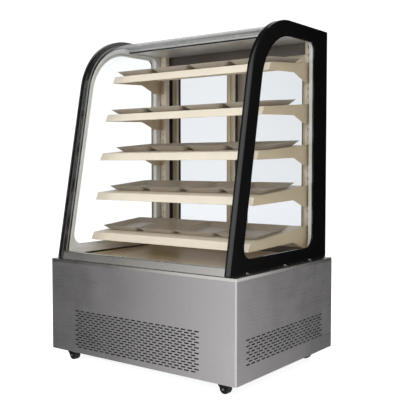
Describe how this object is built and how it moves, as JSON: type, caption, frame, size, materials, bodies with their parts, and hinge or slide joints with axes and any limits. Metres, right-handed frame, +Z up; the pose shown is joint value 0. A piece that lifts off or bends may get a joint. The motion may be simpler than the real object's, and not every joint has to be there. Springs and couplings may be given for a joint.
{
  "type": "glass display showcase",
  "caption": "Curved-front glass display showcase on casters, with a louvred steel base, black-edged glass sides, tilted shelves with trays, a lamp and rear sliding doors.",
  "frame": {"origin": "on the floor, under the centre of the base", "axes": "+X to the right as the customer sees it, -Y towards the customer, +Y towards the staff side with the sliding doors, +Z up"},
  "size_m": [0.9, 0.7, 1.327],
  "materials": {
    "stainless": "brushed, with a soft grain",
    "trim_steel": "satin, brighter than the base",
    "black_zinc": "black zinc-plated pressing",
    "black_border": "gloss black print behind glass",
    "clear_glass": "clear, toughened",
    "cream_enamel": "satin cream enamel on sheet steel",
    "tray_steel": "satin stainless steel",
    "dark_aluminium": "dark anodised",
    "door_aluminium": "champagne anodised",
    "black_rubber": "matt tread",
    "black_plastic": "fine moulded texture",
    "black_enamel": "black baked enamel",
    "coil_aluminium": "mill-finish fins",
    "lamp_diffuser": "opal diffuser, lit"
  },
  "bodies": {
    "cabinet": {"base_pan": "stainless", "base_front_panel": "stainless", "base_left_panel": "stainless", "base_right_panel": "stainless", "base_rear_panel": "stainless", "deck_trim": "trim_steel", "display_deck": "stainless", "front_glass_rail": "trim_steel", "side_frame_left": "black_border", "side_frame_right": "black_border", "side_glass_left": "clear_glass", "side_glass_right": "clear_glass", "front_glass": "clear_glass", "roof_panel": "dark_aluminium", "light_canopy": "trim_steel", "lamp_tube": "lamp_diffuser", "rear_frame": "dark_aluminium", "shelf_upright_left": "cream_enamel", "shelf_upright_right": "cream_enamel", "compressor": "black_enamel", "condenser_coil": "coil_aluminium", "evaporator_coil": "coil_aluminium", "thermostat": "black_plastic", "power_inlet": "black_plastic", "shelf_1": "cream_enamel", "tray_row_1": "tray_steel", "shelf_bracket_1_left": "cream_enamel", "shelf_bracket_1_right": "cream_enamel", "shelf_2": "cream_enamel", "tray_row_2": "tray_steel", "shelf_bracket_2_left": "cream_enamel", "shelf_bracket_2_right": "cream_enamel", "shelf_3": "cream_enamel", "tray_row_3": "tray_steel", "shelf_bracket_3_left": "cream_enamel", "shelf_bracket_3_right": "cream_enamel", "shelf_4": "cream_enamel", "tray_row_4": "tray_steel", "shelf_bracket_4_left": "cream_enamel", "shelf_bracket_4_right": "cream_enamel", "shelf_5": "cream_enamel", "tray_row_5": "tray_steel", "shelf_bracket_5_left": "cream_enamel", "shelf_bracket_5_right": "cream_enamel"},
    "door_left": {"door_frame_left": "door_aluminium", "door_glass_left": "clear_glass"},
    "door_right": {"door_frame_right": "door_aluminium", "door_glass_right": "clear_glass"},
    "fan": {"condenser_fan": "black_plastic"},
    "switch": {"lamp_switch": "black_plastic"},
    "caster_front_left": {"caster_fork_front_left": "black_zinc"},
    "wheel_front_left": {"caster_wheel_front_left": "black_rubber"},
    "pedal_front_left": {"brake_pedal_front_left": "black_plastic"},
    "caster_front_right": {"caster_fork_front_right": "black_zinc"},
    "wheel_front_right": {"caster_wheel_front_right": "black_rubber"},
    "pedal_front_right": {"brake_pedal_front_right": "black_plastic"},
    "caster_rear_left": {"caster_fork_rear_left": "black_zinc"},
    "wheel_rear_left": {"caster_wheel_rear_left": "black_rubber"},
    "caster_rear_right": {"caster_fork_rear_right": "black_zinc"},
    "wheel_rear_right": {"caster_wheel_rear_right": "black_rubber"}
  },
  "joints": [
    {"name": "door_left_slide", "type": "slide", "parent": "cabinet", "child": "door_left", "axis": [1, 0, 0], "range_m": [0, 0.33]},
    {"name": "door_right_slide", "type": "slide", "parent": "cabinet", "child": "door_right", "axis": [-1, 0, 0], "range_m": [0, 0.33]},
    {"name": "fan_spin", "type": "hinge", "parent": "cabinet", "child": "fan", "pos_m": [-0.18, -0.24, 0.185], "axis": [0, 1, 0], "continuous": true},
    {"name": "switch_rock", "type": "hinge", "parent": "cabinet", "child": "switch", "pos_m": [0.15, 0.3425, 0.36], "axis": [-1, 0, 0], "range_deg": [0, 8]},
    {"name": "swivel_front_left", "type": "hinge", "parent": "cabinet", "child": "caster_front_left", "pos_m": [-0.375, -0.2885, 0.0472], "axis": [0, 0, 1], "continuous": true},
    {"name": "wheel_spin_front_left", "type": "hinge", "parent": "caster_front_left", "child": "wheel_front_left", "pos_m": [-0.383, -0.2885, 0.019], "axis": [0, 1, 0], "continuous": true},
    {"name": "brake_front_left", "type": "hinge", "parent": "caster_front_left", "child": "pedal_front_left", "pos_m": [-0.402, -0.2885, 0.037], "axis": [0, -1, 0], "range_deg": [0, 12]},
    {"name": "swivel_front_right", "type": "hinge", "parent": "cabinet", "child": "caster_front_right", "pos_m": [0.375, -0.2885, 0.0472], "axis": [0, 0, 1], "continuous": true},
    {"name": "wheel_spin_front_right", "type": "hinge", "parent": "caster_front_right", "child": "wheel_front_right", "pos_m": [0.367, -0.2885, 0.019], "axis": [0, 1, 0], "continuous": true},
    {"name": "brake_front_right", "type": "hinge", "parent": "caster_front_right", "child": "pedal_front_right", "pos_m": [0.348, -0.2885, 0.037], "axis": [0, -1, 0], "range_deg": [0, 12]},
    {"name": "swivel_rear_left", "type": "hinge", "parent": "cabinet", "child": "caster_rear_left", "pos_m": [-0.375, 0.2885, 0.0472], "axis": [0, 0, 1], "continuous": true},
    {"name": "wheel_spin_rear_left", "type": "hinge", "parent": "caster_rear_left", "child": "wheel_rear_left", "pos_m": [-0.383, 0.2885, 0.019], "axis": [0, 1, 0], "continuous": true},
    {"name": "swivel_rear_right", "type": "hinge", "parent": "cabinet", "child": "caster_rear_right", "pos_m": [0.375, 0.2885, 0.0472], "axis": [0, 0, 1], "continuous": true},
    {"name": "wheel_spin_rear_right", "type": "hinge", "parent": "caster_rear_right", "child": "wheel_rear_right", "pos_m": [0.367, 0.2885, 0.019], "axis": [0, 1, 0], "continuous": true}
  ]
}
